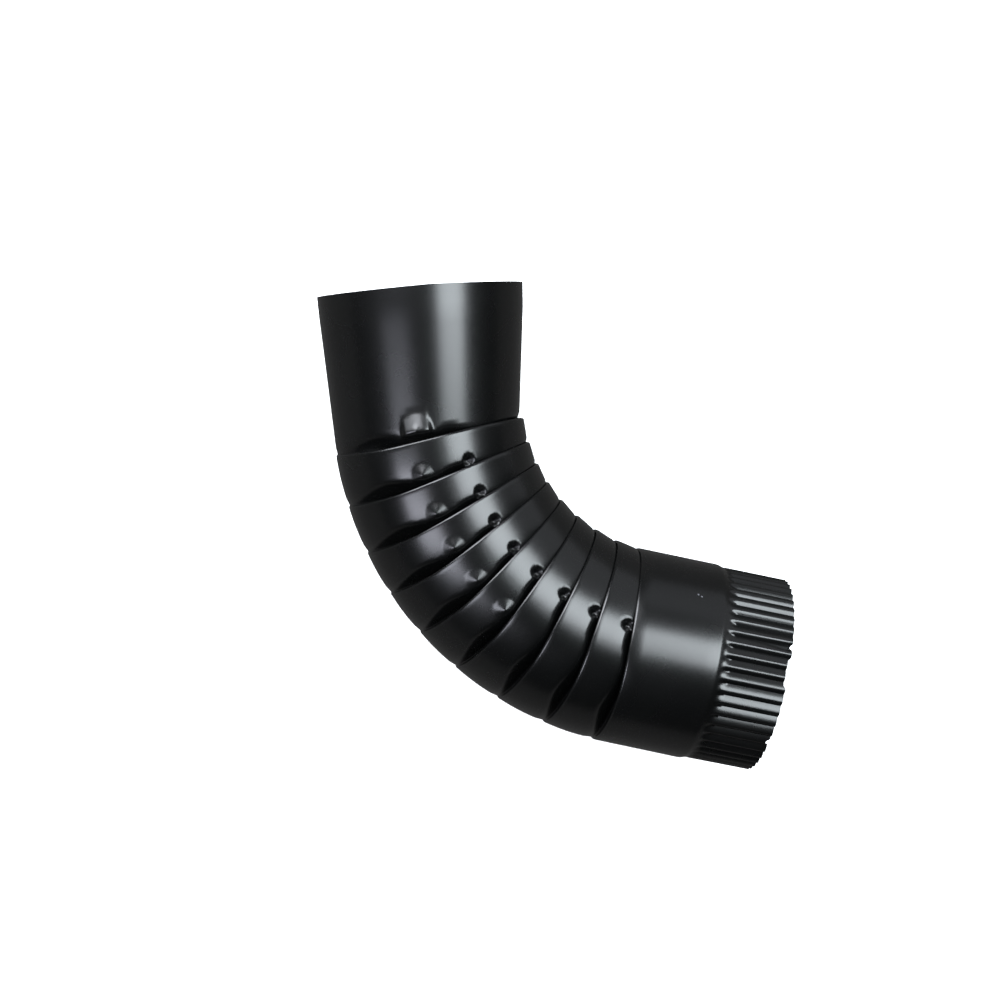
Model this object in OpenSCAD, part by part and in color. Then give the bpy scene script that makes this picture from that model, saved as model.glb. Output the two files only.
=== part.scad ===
// Round pleated downspout elbow, folded from one sheet of painted metal.
// It lies on its side: the bend is in the plane of X and Y, the inlet opens
// towards +Y and the outlet points towards +X. Millimetres.

/* [Sheet] */
// Thickness of the painted sheet
wall = 0.7; // [0.6:0.05:0.8]

/* [Inlet collar] */
// Inner diameter of the mouth, the nominal size of the pipe
mouth_d = 101.6; // [98:0.1:106]
// Length of the straight band at the mouth
mouth_len = 12; // [6:0.5:20]
// Length of the collar along its axis, from the rim to the first pleat
inlet_len = 73; // [50:1:100]
// Outer diameter at the first pleat
neck_d = 95.8; // [90:0.1:98]

/* [Bend] */
// Angle between the inlet's and the outlet's directions of flow
bend_angle = 75; // [60:1:90]
// Number of pleats in the bend
pleat_n = 9; // [5:1:10]
// Distance from the centre of the bend to the edges of the pleats at the throat
throat_r = 82.5; // [75:0.5:110]
// Angle from the mitre plane of a pleat to the edge of its fold
pleat_lead = 2.1; // [0:0.1:2.5]
// Angle by which the edge of a pleat bows upstream on the flanks of the tube
pleat_bow = 1.7; // [0:0.1:2.5]

/* [Pleats] */
// Clear gap between the layers of a pleat
fold_gap = 0.6; // [0.5:0.05:0.8]
// Length of the middle layer where a pleat opens out towards the heel
fold_flat = 0.5; // [0.4:0.05:0.8]
// Angle to which a pleat opens out at the heel
heel_turn = 25; // [20:1:40]

/* [Outlet collar] */
// Outer diameter of the plain part
outlet_d = 100; // [96:0.1:102]
// Length of the plain part along its axis, from the last pleat to the crimps
outlet_len = 45; // [30:1:70]

/* [Crimped end] */
// Number of crimps
crimp_n = 50; // [36:2:54]
// Length of the crimps, with their run-in
crimp_len = 32; // [20:1:45]
// Length over which the crimps reach their full depth
crimp_run = 8; // [4:0.5:12]
// Outer diameter over the crimps
crimp_d = 98.4; // [94:0.1:100]
// Depth of a groove between two crimps
crimp_depth = 2; // [1:0.1:2.4]
// Width of the top of a crimp
crest_w = 2.6; // [1.8:0.1:3]
// Width of the bottom of a groove
groove_w = 1.1; // [0.6:0.1:1.4]

/* [Hidden] */
paint = "#131415";

// Facets round the folded bend, and round the plain bands, which are true cylinders
around = 40;
$fn = 180;
// How deep the folded bend and the crimps are rooted in the plain bands
root = 1;
// How far they stay inside the faces of those bands, and of the bands' outline beyond them
seat = 0.08;
skin = 0.02;
// Where a wall that leaves a band has its next ring
leave = 0.6;
// Bare length of outlet collar between the end of the bend and its plain band
outlet_lead = 7;

mouth_r = mouth_d / 2;
rim_r = mouth_r + wall;
neck_r = neck_d / 2;
outlet_r = outlet_d / 2;
crimp_r = crimp_d / 2;
fold_r = (wall + fold_gap) / 2;
half = wall / 2;

pitch = bend_angle / pleat_n;
pitch_rad = pitch * PI / 180;
first = 0;
last = pleat_n - 1;
function crease(k) = (k + 0.5) * pitch + pleat_lead;

// Outer radius of the tube at a pleat, and distance of its centre from the bend's centre
function tube_r(k) = neck_r + (outlet_r - neck_r) * k / pleat_n;
function centre_r(k) = throat_r + tube_r(k);

// Distances along the axes, from the square planes through the bend's centre
inlet_reach = inlet_len - centre_r(first) * tan(crease(first));
outlet_start = centre_r(pleat_n) * tan(bend_angle - crease(last));
plain_end = outlet_len - outlet_start;
outlet_reach = plain_end + crimp_len;

// A pleat hides the length that the throat has too much of. It is folded in three
// layers there, and opens out towards the heel, where no length is spare.
function spare(k, a) = tube_r(k) * (1 + cos(a)) * pitch_rad;
full_fold = 2 * PI * fold_r;
function middle_len(k, a) = max(fold_flat, (spare(k, a) - full_fold) / 2);
function turn(k, a) = heel_turn + (180 - heel_turn) * pow(min(1, spare(k, a) / full_fold), 1 / 3);
function step_h(k, a) = 2 * fold_r * (1 - cos(turn(k, a))) + middle_len(k, a) * sin(turn(k, a));
function slope(k, a) = asin(step_h(k, a) / ((centre_r(k) - tube_r(k) * cos(a)) * pitch_rad));

// Direction of the sheet before and after a pleat, against the tube's tangent there
function taper(a) = atan((rim_r - tube_r(first) + step_h(first, a)) / inlet_len);
function dir_in(k, a) =
    k == first ? -taper(a) - crease(first) * cos(a) : -slope(k, a) - pitch / 2 * cos(a);
function dir_out(k, a) =
    k == last ? (bend_angle - crease(last)) * cos(a) : -slope(k, a) + pitch / 2 * cos(a);
function dir_mid(k, a) = turn(k, a) + (dir_in(k, a) + dir_out(k, a)) / 2;

// Left normal and heading of a direction, in the plane of flow and tube radius
function left(d) = [-sin(d), cos(d)];
function ahead(d) = [cos(d), sin(d)];

// Centres of a pleat's outer fold, its edge, and of the inner fold under it
function edge_centre(k) = [fold_r + half, tube_r(k) - half - fold_r];
function tuck_centre(k, a) =
    edge_centre(k) + 2 * fold_r * left(dir_mid(k, a)) - middle_len(k, a) * ahead(dir_mid(k, a));

// The six stations of a pleat, side = 1 for the outer skin and -1 for the inner one
function station(k, a, i, side) =
    let (
        mid = dir_mid(k, a),
        from = i < 3 ? dir_in(k, a) : mid,
        to = i < 3 ? mid : dir_out(k, a),
        d = from + (to - from) * (i % 3) / 2
    )
    i < 3
        ? tuck_centre(k, a) - (fold_r - side * half) * left(d)
        : edge_centre(k) + (fold_r + side * half) * left(d);

// The bow is widest midway between throat and side, and gone on the heel's half
function bow(a) = let (f = min(a, 360 - a) - 45) f < 90 ? pleat_bow * pow(cos(f), 2) : 0;

// A point of the sheet, from its flow and tube radius coordinates at a pleat
function bend_point(k, a, p) =
    let (c = crease(k) - bow(a), r = centre_r(k) - p.y * cos(a))
    [-r * cos(c) + p.x * sin(c), -r * sin(c) - p.x * cos(c), p.y * sin(a)];

// Points on rings square to the inlet's and the outlet's axis
function inlet_point(reach, a, r) = [r * cos(a) - centre_r(first), reach, r * sin(a)];
function outlet_point(reach, a, r) =
    let (c = bend_angle, d = centre_r(pleat_n) - r * cos(a))
    [-d * cos(c) + reach * sin(c), -d * sin(c) - reach * cos(c), r * sin(a)];

// Radii at which a ring of n facets stays at a depth inside the wall of a round band
function in_wall(outer_r, side, n, deep) =
    side > 0 ? outer_r - deep : (outer_r - wall + deep) / cos(180 / n);

function ring(n) = [for (j = [0:n - 1]) j * 360 / n];

// All rings of one skin of the folded bend, from the mouth to the outlet
function bend_skin(side) = [
    [for (a = ring(around))
        inlet_point(inlet_reach - mouth_len + root, a, in_wall(rim_r, side, around, seat))],
    [for (a = ring(around))
        inlet_point(inlet_reach - mouth_len - leave, a, in_wall(rim_r, side, around, skin))],
    for (k = [first:last], i = [0:5]) [for (a = ring(around)) bend_point(k, a, station(k, a, i, side))],
    [for (a = ring(around))
        outlet_point(outlet_lead - leave, a, in_wall(outlet_r, side, around, skin))],
    [for (a = ring(around))
        outlet_point(outlet_lead + root, a, in_wall(outlet_r, side, around, seat))]
];

// Half widths of a crimp's top and of a groove's bottom on either skin, as angles
pitch_w = 2 * PI * crimp_r / crimp_n;
flank = atan(crimp_depth / ((pitch_w - crest_w - groove_w) / 2));
skin_shift = wall * tan(flank / 2);
function width_angle(w) = w / 2 / crimp_r * 180 / PI;
function crest_half(side) = width_angle(side > 0 ? crest_w : crest_w - 2 * skin_shift);
function groove_half(side) = width_angle(side > 0 ? groove_w : groove_w + 2 * skin_shift);

// Four points to a crimp: both edges of its top, and both edges of the groove after it
function crimp_angle(j, side) =
    let (c = 360 / crimp_n, m = floor(j / 4) * c, q = j % 4)
    q == 0 ? m - crest_half(side) :
    q == 1 ? m + crest_half(side) :
    q == 2 ? m + c / 2 - groove_half(side) : m + c / 2 + groove_half(side);
function crimp_point(j, side, z, r, depth) =
    let (a = crimp_angle(j, side), h = r - (j % 4 < 2 ? 0 : depth))
    [h * cos(a), h * sin(a), z];
crimp_pts = 4 * crimp_n;
function crimp_skin(side) =
    let (r = crimp_r - half + side * half)
    [
        [for (j = [0:crimp_pts - 1])
            crimp_point(j, side, plain_end - root, in_wall(outlet_r, side, crimp_n, seat), 0)],
        [for (j = [0:crimp_pts - 1])
            crimp_point(j, side, plain_end + crimp_run, r, crimp_depth)],
        [for (j = [0:crimp_pts - 1])
            crimp_point(j, side, outlet_reach, r, crimp_depth)]
    ];

// A closed wall between two skins, each a list of rings with as many points
module sheet(outer, inner) {
    m = len(outer);
    n = len(outer[0]);
    function at(skin, i, j) = (skin * m + i) * n + j % n;
    function flat(rings) = [for (r = rings, p = r) p];
    polyhedron(
        points = concat(flat(outer), flat(inner)),
        faces = [
            for (i = [0:m - 2], j = [0:n - 1]) each [
                [at(0, i, j), at(0, i + 1, j + 1), at(0, i, j + 1)],
                [at(0, i, j), at(0, i + 1, j), at(0, i + 1, j + 1)],
                [at(1, i, j), at(1, i, j + 1), at(1, i + 1, j + 1)],
                [at(1, i, j), at(1, i + 1, j + 1), at(1, i + 1, j)]
            ],
            for (j = [0:n - 1]) each [
                [at(0, 0, j), at(1, 0, j + 1), at(1, 0, j)],
                [at(0, 0, j), at(0, 0, j + 1), at(1, 0, j + 1)],
                [at(0, m - 1, j), at(1, m - 1, j), at(1, m - 1, j + 1)],
                [at(0, m - 1, j), at(1, m - 1, j + 1), at(0, m - 1, j + 1)]
            ]
        ],
        convexity = 12
    );
}

module band(outer_r, len) {
    difference() {
        cylinder(r = outer_r, h = len);
        translate([0, 0, -1]) cylinder(r = outer_r - wall, h = len + 2);
    }
}

// Puts what is drawn along +Z from the bend's centre on the outlet's axis, X towards the throat
module on_outlet() {
    translate([-centre_r(pleat_n) * cos(bend_angle), -centre_r(pleat_n) * sin(bend_angle), 0])
        rotate([0, 0, bend_angle]) rotate([90, 0, 0]) children();
}

module mouth_band() {
    translate([-centre_r(first), inlet_reach, 0]) rotate([90, 0, 0]) band(rim_r, mouth_len);
}

module outlet_band() {
    on_outlet() translate([0, 0, outlet_lead]) band(outlet_r, plain_end - outlet_lead);
}

module pleated_bend() sheet(bend_skin(1), bend_skin(-1));

module crimped_end() on_outlet() sheet(crimp_skin(1), crimp_skin(-1));

// Corners of the part's outline, by which it is centred on the origin
left_x = -centre_r(first) - rim_r;
right_x = outlet_point(outlet_reach, 0, crimp_r).x;
back_y = outlet_point(outlet_reach, 180, crimp_r).y;

module elbow() {
    color(paint)
        translate([-(left_x + right_x) / 2, -(inlet_reach + back_y) / 2, rim_r]) {
            mouth_band();
            pleated_bend();
            outlet_band();
            crimped_end();
        }
}

elbow();
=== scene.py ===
import math

import bmesh
import bpy
from mathutils import Matrix, Vector


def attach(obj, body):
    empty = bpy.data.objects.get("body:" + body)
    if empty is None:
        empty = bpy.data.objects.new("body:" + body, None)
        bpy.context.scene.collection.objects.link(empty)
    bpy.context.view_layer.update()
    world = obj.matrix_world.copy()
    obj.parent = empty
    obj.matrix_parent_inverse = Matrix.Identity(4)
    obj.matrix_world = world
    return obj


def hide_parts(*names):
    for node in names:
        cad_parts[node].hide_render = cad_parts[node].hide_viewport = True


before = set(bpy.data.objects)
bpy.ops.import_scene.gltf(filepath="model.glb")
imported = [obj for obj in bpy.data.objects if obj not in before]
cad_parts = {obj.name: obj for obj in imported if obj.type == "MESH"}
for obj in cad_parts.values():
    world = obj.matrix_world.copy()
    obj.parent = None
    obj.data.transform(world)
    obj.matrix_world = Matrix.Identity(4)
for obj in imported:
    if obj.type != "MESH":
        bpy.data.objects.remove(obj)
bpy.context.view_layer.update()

mm = 0.001
hue = {"paint": "#020303", "paintWorn": "#050505", "chip": "#46484c", "floor": "#f0f0f0",
       "key": "#f1faff", "fill": "#eff2ff", "high": "#f4f8ff", "side": "#f4f8ff", "back": "#ffffff"}


def linear(hexColour):
    # sRGB hex to the linear colour that a shader socket takes
    parts = [int(hexColour[i:i + 2], 16) / 255 for i in (1, 3, 5)]
    return tuple(c / 12.92 if c <= 0.04045 else ((c + 0.055) / 1.055) ** 2.4 for c in parts) + (1.0,)


def smooth(x):
    # eases from 0 to 1
    x = min(1.0, max(0.0, x))
    return x * x * (3 - 2 * x)


# The sheet, its bend and its folds, in millimetres and radians
elbow = {
    "wall": 0.7,
    "mouthR": 50.8, "mouthLen": 12.0, "inletLen": 73.0, "neckR": 47.9,
    "bend": math.radians(75), "pleats": 9, "throatR": 82.5, "lead": math.radians(2.1),
    "foldGap": 0.6, "foldFlat": 0.5, "heelTurn": math.radians(25),
    "outletR": 50.0, "outletLen": 45.0,
    "crimps": 50, "crimpLen": 32.0, "crimpR": 49.2, "crimpDepth": 1.6, "crimpLow": 0.375,  # where a groove is deepest, from crest to crest
    "sway": 0.2,        # how far a pleat's edge runs ahead of its plane on the flanks, in pitches
    "drift": (0.12, 0.14, 0.1, 0, -0.06, -0.1, -0.1, -0.1, -0.1),  # and each pleat's own error, as pressed
    "swell": 0.5,       # how much the sheet swells out between two pleats, in heights of a pleat's step
    "dropAll": 1.4,           # how far the sheet sinks all along a pleat's edge, just in front of it,
    "dropAt": (84, 130),      # degrees round the tube where it sinks further,
    "dropSpread": (11, 19),   # on either side of the tool's mark, how far that spreads there,
    "dropDepth": (2.0, 3.0),  # how deep it is
    "dropLeast": 0.17,        # and how long, as a share of the way from pleat to pleat: elsewhere,
    "dropLength": 0.36,       # and there
    "noseSpread": 40, "noseDrop": 0.9, "noseLength": 0.3,  # the same at the throat, which makes noses of the folds
    "heelFade": 0.7,    # how much of that sinking is missing at the heel
    "mouthTaper": 0.5,  # how much the mouth's band narrows to its end
    "heelBulge": 0.6,   # how far the sheet stands out between two pleats at the heel
    "rimSlant": 2.2,    # the mouth is cut this much shorter at the heel
    "around": 200,      # points round the tube, and twice as many round the crimps
    "gather": 0.42,     # how much closer they stand on the flanks, where the dimples are
    "tuckSteps": (4, 3), "edgeSteps": (6, 4), "goreSteps": (15, 5), "neckSteps": (18, 7),  # outer, inner skin
}

wall = elbow["wall"]
half = wall / 2
foldR = (wall + elbow["foldGap"]) / 2
rimR = elbow["mouthR"] + wall
pitch = elbow["bend"] / elbow["pleats"]
last = elbow["pleats"] - 1


def crease(k):
    return (k + 0.5) * pitch + elbow["lead"]


def tubeR(k):
    return elbow["neckR"] + (elbow["outletR"] - elbow["neckR"]) * k / elbow["pleats"]


def centreR(k):
    return elbow["throatR"] + tubeR(k)


# Distances along the axes, from the square planes through the bend's centre
inletReach = elbow["inletLen"] - centreR(0) * math.tan(crease(0))
plainEnd = elbow["outletLen"] - centreR(elbow["pleats"]) * math.tan(elbow["bend"] - crease(last))
outletReach = plainEnd + elbow["crimpLen"]


def outletPoint(reach, a, r):
    d = centreR(elbow["pleats"]) - r * math.cos(a)
    c, s = math.cos(elbow["bend"]), math.sin(elbow["bend"])
    return Vector((-d * c + reach * s, -d * s - reach * c, r * math.sin(a)))


def inletPoint(reach, a, r):
    return Vector((r * math.cos(a) - centreR(0), reach, r * math.sin(a)))


# The part is centred over the floor that it lies on
centring = -Vector((
    (-centreR(0) - rimR + outletPoint(outletReach, 0, elbow["crimpR"]).x) / 2,
    (inletReach + outletPoint(outletReach, math.pi, elbow["crimpR"]).y) / 2,
    -rimR,
))


def toFrame(p):
    return (p + centring) * mm


# A pleat hides the length that the throat has too much of, in three layers that open
# out towards the heel. a is the angle round the tube, from the throat to the heel.
def spare(k, a):
    return tubeR(k) * (1 + math.cos(a)) * pitch


def pleatShape(k, a):
    fullFold = 2 * math.pi * foldR
    flat = max(elbow["foldFlat"], (spare(k, a) - fullFold) / 2)
    share = min(1.0, spare(k, a) / fullFold) ** (1 / 3)
    turn = elbow["heelTurn"] + (math.pi - elbow["heelTurn"]) * share
    step = 2 * foldR * (1 - math.cos(turn)) + flat * math.sin(turn)
    slope = math.asin(step / ((centreR(k) - tubeR(k) * math.cos(a)) * pitch))
    into = -slope - pitch / 2 * math.cos(a)
    out = -slope + pitch / 2 * math.cos(a)
    if k == 0:
        into = -math.atan((rimR - tubeR(0) + step) / elbow["inletLen"]) - crease(0) * math.cos(a)
    if k == last:
        out = (elbow["bend"] - crease(last)) * math.cos(a)
    middle = turn + (into + out) / 2
    edge = (foldR + half, tubeR(k) - half - foldR)
    tuck = (
        edge[0] - 2 * foldR * math.sin(middle) - flat * math.cos(middle),
        edge[1] + 2 * foldR * math.cos(middle) - flat * math.sin(middle),
    )
    return {"into": into, "middle": middle, "out": out, "edge": edge, "tuck": tuck, "step": step}


def sway(k, a):
    # the edge of a pleat bows upstream on the flanks and comes back at the heel
    flank = abs(math.remainder(a, 2 * math.pi)) - math.pi / 4
    return -elbow["sway"] * pitch * math.cos(flank) ** 2 if flank < math.pi / 2 else 0.0


def pocket(a):
    # depth and length of the pocket into which the sheet sinks in front of a pleat
    turned = abs(math.degrees(math.remainder(a, 2 * math.pi)))
    rows = list(zip(elbow["dropAt"], elbow["dropSpread"], elbow["dropDepth"]))
    deep = sum(depth * math.exp(-((turned - at) / spread) ** 2) for at, spread, depth in rows)
    share = min(1.0, deep / max(elbow["dropDepth"]))
    least = elbow["dropLeast"]
    nose = math.exp(-(turned / elbow["noseSpread"]) ** 2)
    length = least + (elbow["dropLength"] - least) * share + elbow["noseLength"] * nose
    fade = 1 - elbow["heelFade"] * smooth((turned - 140) / 30)
    return elbow["dropAll"] * fade + deep + elbow["noseDrop"] * nose, length


def sunk(a, share, stretch=1.0):
    # the sheet stays up and then sinks over the last stretch, faster than it levels out
    deep, length = pocket(a)
    way = min(1.0, max(0.0, (share - 1 + length * stretch) / (length * stretch)))
    return deep * (share - smooth(way ** 0.7))


def bendPoint(k, a, x, y):
    c = crease(k) + elbow["drift"][k] * pitch + sway(k, a)
    r = centreR(k) - y * math.cos(a)
    return Vector((-r * math.cos(c) + x * math.sin(c), -r * math.sin(c) - x * math.cos(c), y * math.sin(a)))


def tuckPoint(k, share, a, side):
    s = pleatShape(k, a)
    d = s["into"] + (s["middle"] - s["into"]) * share
    r = foldR - side * half
    return bendPoint(k, a, s["tuck"][0] + r * math.sin(d), s["tuck"][1] - r * math.cos(d) - pocket(a)[0])


def edgePoint(k, share, a, side):
    s = pleatShape(k, a)
    d = s["middle"] + (s["out"] - s["middle"]) * share
    r = foldR + side * half
    return bendPoint(k, a, s["edge"][0] - r * math.sin(d), s["edge"][1] + r * math.cos(d))


def outward(p, a):
    # away from the tube's centre line, at a point of the bend
    turned = math.atan2(-p.y, -p.x)
    return Vector((math.cos(turned) * math.cos(a), math.sin(turned) * math.cos(a), math.sin(a)))


def gorePoint(k, share, a, side):
    # from pleat k to the next, swelling out and then diving under the next edge
    start, end = edgePoint(k, 1, a, side), tuckPoint(k + 1, 0, a, side)
    lift = elbow["swell"] * pleatShape(k + 1, a)["step"] * 1.35 * (share - share ** 6)
    heel = elbow["heelBulge"] * max(0.0, -math.cos(a)) * 4 * share * (1 - share)
    p = start.lerp(end, share)
    return p + outward(p, a) * (lift + heel + sunk(a, share))


def neckPoint(share, a, side):
    # the tapered part of the inlet collar, from the mouth's straight band to the first pleat
    r = rimR if side > 0 else rimR - wall
    start = inletPoint(inletReach - elbow["mouthLen"], a, r - elbow["mouthTaper"])
    end = tuckPoint(0, 0, a, side)
    return start.lerp(end, share) + Vector((math.cos(a), 0, math.sin(a))) * sunk(a, share, 0.32)


def mouthPoint(share, a, side):
    r = rimR if side > 0 else rimR - wall
    slant = elbow["rimSlant"] * max(0.0, -math.cos(a)) * (1 - share)
    return inletPoint(inletReach - slant - elbow["mouthLen"] * share, a, r - elbow["mouthTaper"] * share)


def collarPoint(share, a, side):
    # the plain outlet collar, from the last pleat to the crimps
    start = edgePoint(last, 1, a, side)
    end = outletPoint(plainEnd - 5, a, elbow["outletR"] if side > 0 else elbow["outletR"] - wall)
    p = start.lerp(end, share)
    return p


# Handling damage at the crimped rim: a crimp that is dented towards its end, and where
# the rim is torn or folded back, as from and to degrees, softness in degrees, depth in mm
dent = {"at": 68.0, "wide": 2.4, "long": 17.0, "deep": 0.9}
rimCuts = ((66.0, 69.5, 1.0, 1.1), (74.0, 93.0, 2.5, 1.4), (126.5, 132.5, 2.0, 1.8))
cutReach = 7.0  # how far from the rim the sheet gives way


def crimpPoint(reach, a, side):
    # narrow crests between rounded grooves, which rise from a shallow step in the collar
    r = elbow["outletR"] if side > 0 else elbow["outletR"] - wall
    phase = (a * elbow["crimps"] / (2 * math.pi)) % 1.0
    low = elbow["crimpLow"]
    start = smooth((reach - plainEnd + 4.8) / 4.6)
    rise = smooth((reach - plainEnd + 2.8) / 3.8)
    groove = smooth((reach - plainEnd + 2.4) / 4.6)
    dip = 0.35 * start * (1 - rise)
    crest = (elbow["outletR"] - elbow["crimpR"]) * start
    wave = (phase / low if phase < low else (1 - phase) / (1 - low)) ** 1.4
    fromRim = outletReach - reach
    turned = math.degrees(a)
    dented = dent["deep"] * math.exp(-((turned - dent["at"]) / dent["wide"]) ** 2) * smooth(1 - fromRim / dent["long"])
    cut = sum(deep * smooth((turned - lo) / soft) * smooth((hi - turned) / soft) for lo, hi, soft, deep in rimCuts)
    reach -= cut * max(0.0, 1 - fromRim / cutReach)
    return outletPoint(reach, a, r - crest - dip - elbow["crimpDepth"] * wave * groove - dented)


def ringPlan(side):
    # every ring of one skin, from the mouth to the crimps; the inner one needs fewer
    tucks, edges, gores, necks = (elbow[name][0 if side > 0 else 1]
                                  for name in ("tuckSteps", "edgeSteps", "goreSteps", "neckSteps"))
    plan = [("mouth", i / 3, None) for i in range(4)]
    plan += [("neck", 1 - (1 - (i + 1) / (necks + 1)) ** 1.9, None) for i in range(necks)]
    for k in range(elbow["pleats"]):
        plan += [("tuck", i / (tucks - 1), k) for i in range(tucks)]
        plan += [("edge", i / (edges - 1), k) for i in range(edges)]
        if k < last:
            plan += [("gore", 1 - (1 - (i + 1) / (gores + 1)) ** 1.25, k) for i in range(gores)]
    plan += [("collar", (i + 1) / 7, None) for i in range(7)]
    return plan


makers = {
    "mouth": lambda share, k, a, side: mouthPoint(share, a, side),
    "neck": lambda share, k, a, side: neckPoint(share, a, side),
    "tuck": lambda share, k, a, side: tuckPoint(k, share, a, side),
    "edge": lambda share, k, a, side: edgePoint(k, share, a, side),
    "gore": lambda share, k, a, side: gorePoint(k, share, a, side),
    "collar": lambda share, k, a, side: collarPoint(share, a, side),
}


def gathered(u, amount):
    # angles round the tube that stand closer on the flanks
    turn = 2 * math.pi * u
    return turn + amount * math.sin(2 * turn) / 2


def nextRing(bm, ring):
    edges = [bm.edges.get((ring[i - 1], ring[i])) for i in range(len(ring))]
    made = bmesh.ops.extrude_edge_only(bm, edges=edges)["geom"]
    fresh = {v for v in made if isinstance(v, bmesh.types.BMVert)}
    return [next(e.other_vert(v) for e in v.link_edges if e.other_vert(v) in fresh) for v in ring]


def splitRing(bm, ring):
    # twice the points, for the crimps
    out = []
    for i, v in enumerate(ring):
        edge = bm.edges.get((v, ring[(i + 1) % len(ring)]))
        out += [v, bmesh.utils.edge_split(edge, v, 0.5)[1]]
    return out


def skin(bm, side):
    n = elbow["around"]
    ring = bmesh.ops.create_circle(bm, segments=n, radius=1.0)["verts"]
    rim = ring
    plan = ringPlan(side)
    for row, (kind, share, k) in enumerate(plan):
        if row:
            ring = nextRing(bm, ring)
        gather = elbow["gather"] * (1 - share if kind == "collar" else 1)
        for i, v in enumerate(ring):
            v.co = makers[kind](share, k, gathered(i / n, gather), side)
    ring = splitRing(bm, ring)
    steps = [plainEnd - 5 + d for d in (0.01, 0.8, 1.2, 1.6, 2.0, 2.4, 3.2, 4.2, 5.4, 6.8, 8.4)]
    steps += [steps[-1] + (outletReach - steps[-1]) * part for part in (0.3, 0.55, 0.78, 0.92, 1)]
    for row, reach in enumerate(steps):
        if row:
            ring = nextRing(bm, ring)
        for i, v in enumerate(ring):
            v.co = crimpPoint(reach, 2 * math.pi * i / (2 * n), side)
    return rim, ring


# Marks of the pleating tool: on both flanks a pit and a raised cone upstream of each
# pleat's edge, at these degrees round the tube. The first cone is a broad dome.
marks = {
    "pit": {"at": 75, "back": 0.13, "radius": 3.2, "height": -3.8, "power": 0.9},
    "cone": {"at": 104, "back": 0.22, "radius": 6.0, "height": 1.7, "power": 1.2},
    "dome": {"at": 102.3, "back": 0.27, "radius": 8.6, "slope": 0.3, "run": 9.5, "foot": 4.5, "tip": 0.5},
}


def domeHeight(mark, up, across):
    # rises evenly from its round upstream rim, then drops into the pocket; a point stands in its middle
    rim = math.sqrt(max(0.0, mark["radius"] ** 2 - across ** 2))
    rise = mark["slope"] * min(mark["run"], max(0.0, rim - up))
    side = smooth((mark["radius"] - abs(across)) / 3)
    point = mark["tip"] * max(0.0, 1 - math.hypot(up, across) / 2)
    return rise * side * smooth((up + mark["foot"]) / 4) + point


def surfaceSpot(k, back, a):
    # a spot on the outer skin, back pitches upstream of the edge of pleat k
    c = crease(k) + elbow["drift"][k] * pitch + sway(k, a) - back * pitch
    r = centreR(k) - tubeR(k) * math.cos(a)
    return Vector((-r * math.cos(c), -r * math.sin(c), tubeR(k) * math.sin(a)))


def press(bm, k, flank, mark):
    # lifts the sheet round a mark, or sinks it where the height is negative
    a = flank * math.radians(mark["at"])
    spot = surfaceSpot(k, mark["back"], a)
    away = outward(spot, a)
    radius = mark["radius"]

    def fromSpot(v):
        offset = v.co - spot
        rise = offset.dot(away)
        return (offset - away * rise).length if abs(rise) < 6 else math.inf

    near = [v for v in bm.verts if (v.co - spot).length < radius + 6]
    inside = {v for v in near if fromSpot(v) < radius * 1.15}
    edges = {e for v in inside for e in v.link_edges if e.other_vert(v) in inside}
    bmesh.ops.subdivide_edges(bm, edges=list(edges), cuts=1, use_grid_fill=True)
    line = crease(k) + elbow["drift"][k] * pitch + sway(k, a)
    upstream = Vector((-math.sin(line), math.cos(line), 0))
    for v in bm.verts:
        if (v.co - spot).length > radius + 6:
            continue
        flat = fromSpot(v)
        ahead = (line - math.atan2(-v.co.y, -v.co.x)) / pitch  # the pleat's edge stays as it is
        if flat < radius and ahead > 0:
            if "slope" in mark:
                offset = v.co - spot
                height = domeHeight(mark, offset.dot(upstream), offset.dot(away.cross(upstream)))
            else:
                height = mark["height"] * (1 - flat / radius) ** mark["power"]
            v.co += away * height * smooth(ahead / 0.05)


def makeElbow():
    bm = bmesh.new()
    outerRim, outerEnd = skin(bm, 1)
    innerRim, innerEnd = skin(bm, -1)
    for a, b in ((outerRim, innerRim), (outerEnd, innerEnd)):
        loops = [bm.edges.get((r[i - 1], r[i])) for r in (a, b) for i in range(len(r))]
        bmesh.ops.bridge_loops(bm, edges=loops)
    for k in range(elbow["pleats"]):
        for flank in (1, -1):
            if k:
                press(bm, k, flank, marks["pit"])
            if k < 6:
                press(bm, k, flank, marks["cone" if k else "dome"])
    for v in bm.verts:
        v.co = toFrame(v.co)
    bmesh.ops.recalc_face_normals(bm, faces=bm.faces)
    for f in bm.faces:
        f.smooth = True
    for e in bm.edges:
        e.smooth = len(e.link_faces) == 2 and e.calc_face_angle(0) < math.radians(62)
    mesh = bpy.data.meshes.new("elbowSheet")
    bm.to_mesh(mesh)
    bm.free()
    piece = bpy.data.objects.new("elbow_sheet", mesh)
    bpy.context.scene.collection.objects.link(piece)
    return piece


def addNode(tree, kind, settings=None, links=None):
    # adds a node, sets its properties and inputs, and links its inputs from other sockets
    node = tree.nodes.new(kind)
    for name, value in (settings or {}).items():
        if name in node.inputs:
            node.inputs[name].default_value = value
        else:
            setattr(node, name, value)
    for name, socket in (links or {}).items():
        tree.links.new(socket, node.inputs[name])
    return node


# Two specks on the outlet collar where the coating is chipped off
chips = [toFrame(outletPoint(reach, math.radians(turned), elbow["outletR"]))
         for reach, turned in ((22.2, 46.6), (24.0, 47.6))]
chipR = 0.5 * mm


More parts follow.
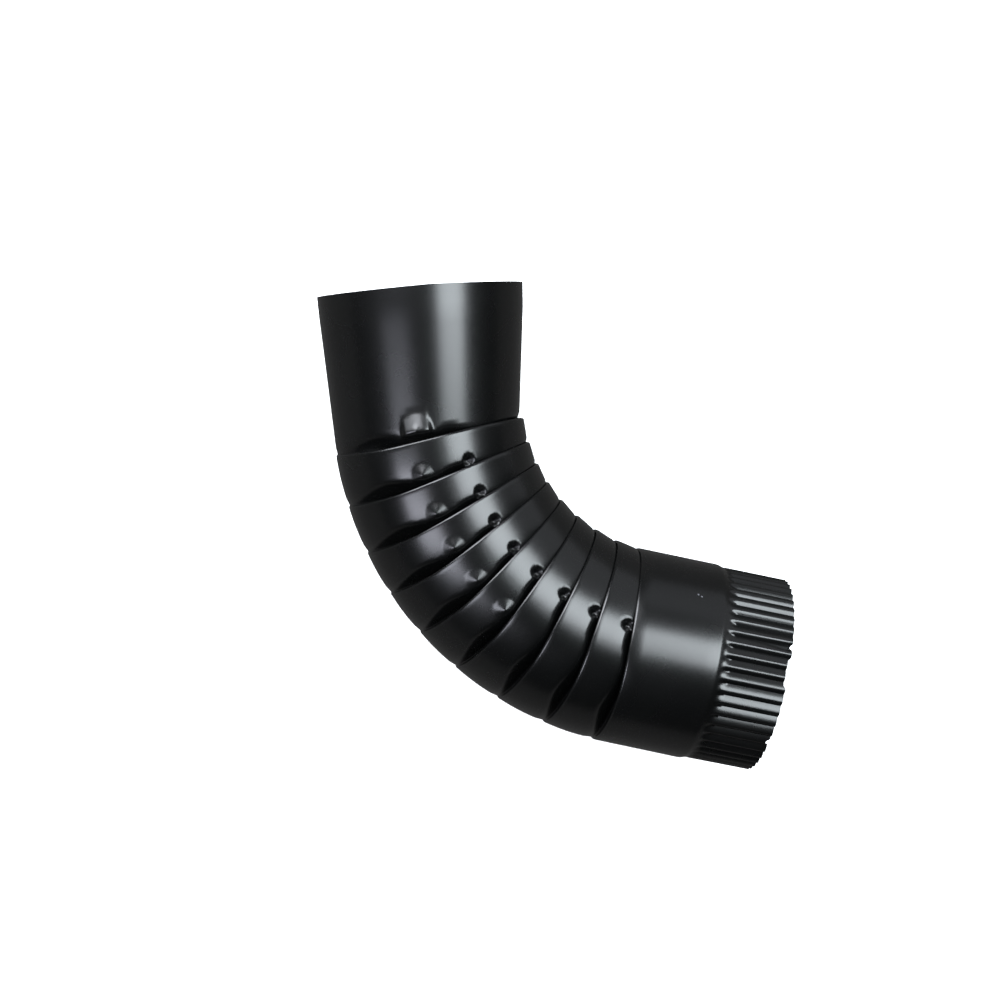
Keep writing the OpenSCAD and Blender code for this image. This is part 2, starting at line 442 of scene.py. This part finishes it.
def coilCoatedPaint():
    # polyester coil coating on steel sheet, near black: satin, so lamps show as soft bands
    material = bpy.data.materials.new("coil_coated_black_steel")
    material.use_nodes = True
    tree = material.node_tree
    shader = tree.nodes["Principled BSDF"]
    place = addNode(tree, "ShaderNodeTexCoord")
    cloud = addNode(tree, "ShaderNodeTexNoise", {"Scale": 28.0, "Detail": 3.0}, {"Vector": place.outputs["Object"]})
    tone = addNode(tree, "ShaderNodeMix", {"data_type": "RGBA"}, {0: cloud.outputs["Fac"]})
    tone.inputs[6].default_value = linear(hue["paint"])  # a Mix node's colour sockets have no names of their own
    tone.inputs[7].default_value = linear(hue["paintWorn"])
    peel = addNode(tree, "ShaderNodeTexNoise", {"Scale": 900.0, "Detail": 2.0}, {"Vector": place.outputs["Object"]})
    bump = addNode(tree, "ShaderNodeBump", {"Strength": 0.04, "Distance": 0.0002}, {"Height": peel.outputs["Fac"]})
    gloss = addNode(tree, "ShaderNodeMapRange", {"To Min": 0.24, "To Max": 0.3}, {"Value": cloud.outputs["Fac"]})
    colour = tone.outputs[2]
    for spot in chips:
        away = addNode(tree, "ShaderNodeVectorMath", {"operation": "DISTANCE"}, {0: place.outputs["Object"]})
        away.inputs[1].default_value = spot
        bare = addNode(tree, "ShaderNodeMath", {"operation": "LESS_THAN"}, {0: away.outputs["Value"]})
        bare.inputs[1].default_value = chipR
        chipped = addNode(tree, "ShaderNodeMix", {"data_type": "RGBA"}, {0: bare.outputs[0], 6: colour})
        chipped.inputs[7].default_value = linear(hue["chip"])
        colour = chipped.outputs[2]
    tree.links.new(colour, shader.inputs["Base Color"])
    tree.links.new(gloss.outputs["Result"], shader.inputs["Roughness"])
    tree.links.new(bump.outputs["Normal"], shader.inputs["Normal"])
    shader.inputs["IOR"].default_value = 1.55
    return material


# The camera of the photograph, from the fit of the elbow's own outline
view = {
    "at": (-186.81, 85.82, 1410.39),
    "right": (0.99158522, -0.05362222, 0.11782788),
    "up": (0.05903453, 0.99733232, -0.0429321),
    "lens": 98.06, "sensor": 36.0,
}


def makeCamera():
    data = bpy.data.cameras.new("view")
    data.lens, data.sensor_width = view["lens"], view["sensor"]
    data.clip_start, data.clip_end = 0.05, 20
    camera = bpy.data.objects.new("view", data)
    bpy.context.scene.collection.objects.link(camera)
    right, up = Vector(view["right"]), Vector(view["up"])
    turned = Matrix((right, up, right.cross(up))).transposed().to_4x4()
    camera.matrix_world = Matrix.Translation(Vector(view["at"]) * mm) @ turned
    bpy.context.scene.camera = camera
    return camera


# Softboxes: where they stand, seen from the elbow as degrees right of and above the
# camera's line, with their distance and size in metres and their strength
lamps = {
    "key": {"right": 33, "above": 5, "far": 1.6, "size": (0.86, 0.84), "watts": 28.5},
    "fill": {"right": -31, "above": -24, "far": 1.6, "size": (0.78, 0.5), "watts": 11},
    "side": {"right": 75, "above": 42, "far": 1.6, "size": (1.6, 1.6), "watts": 4.5},
    "high": {"right": -33, "above": 37, "far": 1.6, "size": (1.75, 1.1), "watts": 72},
    "back": {"right": 150, "above": 20, "far": 1.6, "size": (0.8, 0.8), "watts": 8},
}


def makeLamps(camera):
    axes = camera.matrix_world.to_3x3()
    heart = Vector((0, 0, rimR * mm))
    for name, lamp in lamps.items():
        data = bpy.data.lights.new(name, "AREA")
        data.shape = "RECTANGLE"
        data.size, data.size_y = lamp["size"]
        data.energy = lamp["watts"]
        data.color = linear(hue[name])[:3]
        obj = bpy.data.objects.new(name, data)
        bpy.context.scene.collection.objects.link(obj)
        r, u = math.radians(lamp["right"]), math.radians(lamp["above"])
        away = axes @ Vector((math.sin(r) * math.cos(u), math.sin(u), math.cos(r) * math.cos(u)))
        obj.location = heart + away * lamp["far"]
        back = away.normalized()
        side = (axes @ Vector((0, 1, 0))).cross(back).normalized()
        obj.matrix_world = Matrix.Translation(obj.location) @ Matrix((side, back.cross(side), back)).transposed().to_4x4()


def makeFloor():
    bm = bmesh.new()
    bmesh.ops.create_grid(bm, x_segments=1, y_segments=1, size=6)
    mesh = bpy.data.meshes.new("floor")
    bm.to_mesh(mesh)
    bm.free()
    floor = bpy.data.objects.new("floor", mesh)
    bpy.context.scene.collection.objects.link(floor)
    material = bpy.data.materials.new("white_card")
    material.use_nodes = True
    tree = material.node_tree
    tree.nodes.clear()
    card = addNode(tree, "ShaderNodeBsdfDiffuse", {"Color": linear(hue["floor"])})
    path = addNode(tree, "ShaderNodeLightPath")
    lift = addNode(tree, "ShaderNodeMath", {"operation": "MULTIPLY"}, {0: path.outputs["Is Camera Ray"]})
    lift.inputs[1].default_value = 0.45  # white to the camera, and the shadow still shows
    glow = addNode(tree, "ShaderNodeEmission", {"Color": (1, 1, 1, 1)}, {"Strength": lift.outputs[0]})
    lit = addNode(tree, "ShaderNodeAddShader", None, {0: card.outputs[0], 1: glow.outputs[0]})
    mirrored = addNode(tree, "ShaderNodeEmission", {"Color": (1, 1, 1, 1), "Strength": 0.13})
    both = addNode(tree, "ShaderNodeMixShader", None,
                   {"Fac": path.outputs["Is Glossy Ray"], 1: lit.outputs[0], 2: mirrored.outputs[0]})
    addNode(tree, "ShaderNodeOutputMaterial", None, {"Surface": both.outputs[0]})
    mesh.materials.append(material)


def makeWorld():
    world = bpy.data.worlds.new("studio")
    world.use_nodes = True
    tree = world.node_tree
    tree.nodes.clear()
    path = addNode(tree, "ShaderNodeLightPath")
    soft = addNode(tree, "ShaderNodeBackground", {"Color": (1, 1, 1, 1), "Strength": 0.8})
    dim = addNode(tree, "ShaderNodeBackground", {"Color": (1, 1, 1, 1), "Strength": 0.015})
    white = addNode(tree, "ShaderNodeBackground", {"Color": (1, 1, 1, 1), "Strength": 1.0})
    unlit = addNode(tree, "ShaderNodeMixShader", None,
                    {"Fac": path.outputs["Is Glossy Ray"], 1: soft.outputs[0], 2: dim.outputs[0]})
    both = addNode(tree, "ShaderNodeMixShader", None,
                   {"Fac": path.outputs["Is Camera Ray"], 1: unlit.outputs[0], 2: white.outputs[0]})
    addNode(tree, "ShaderNodeOutputWorld", None, {"Surface": both.outputs[0]})
    bpy.context.scene.world = world


print("camera, lamps and floor")
bpy.context.scene.view_settings.view_transform = "Standard"
camera = makeCamera()
makeLamps(camera)
makeFloor()
makeWorld()

print("folding the elbow")
sheet = makeElbow()
sheet.data.materials.append(coilCoatedPaint())
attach(sheet, "root")
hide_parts("elbow")
print("triangles", sum(len(p.vertices) - 2 for p in sheet.data.polygons))
